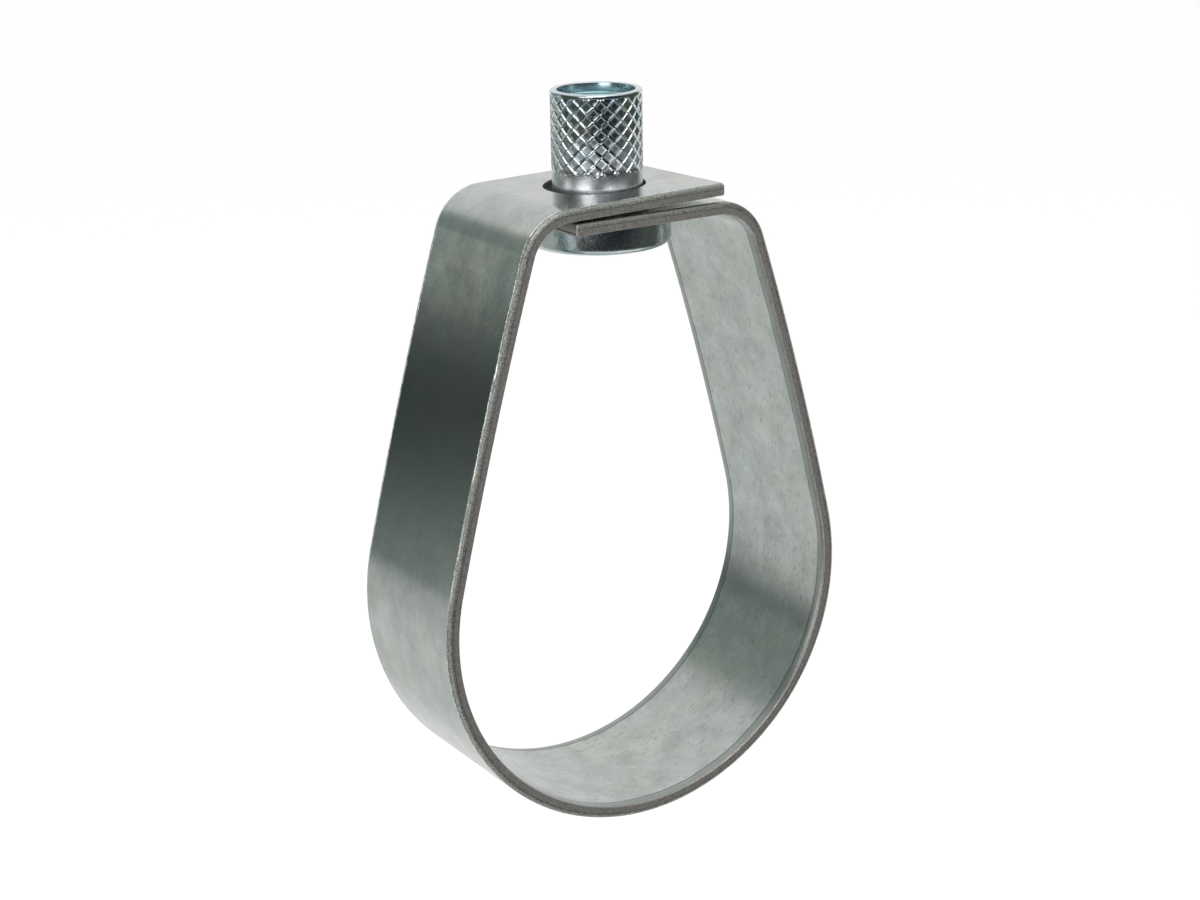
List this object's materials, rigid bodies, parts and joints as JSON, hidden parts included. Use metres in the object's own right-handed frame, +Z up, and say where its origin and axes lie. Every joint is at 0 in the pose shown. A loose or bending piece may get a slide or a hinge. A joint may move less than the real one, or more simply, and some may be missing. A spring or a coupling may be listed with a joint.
{
  "type": "swivel ring pipe hanger",
  "caption": "Pear-shaped folded steel band that holds a horizontal pipe and swivels on a knurled, flanged insert nut for a threaded hanger rod.",
  "frame": {"origin": "centre of the ring that holds the pipe, halfway across the strip's width", "axes": "+Z up along the nut's thread towards the hanger rod, +Y along the pipe, +X across the loop towards the leg whose tab lies underneath"},
  "size_m": [0.08, 0.0298, 0.1271],
  "materials": {
    "galvanised_strip": "galvanised",
    "zinc_plated_nut": "bright zinc plated"
  },
  "bodies": {
    "nut": {"swivel_nut": "zinc_plated_nut"},
    "band": {"ring_band": "galvanised_strip"}
  },
  "joints": [
    {"name": "ring_swivel", "type": "hinge", "parent": "nut", "child": "band", "pos_m": [0, 0, 0.06595], "axis": [0, 0, 1], "continuous": true}
  ]
}
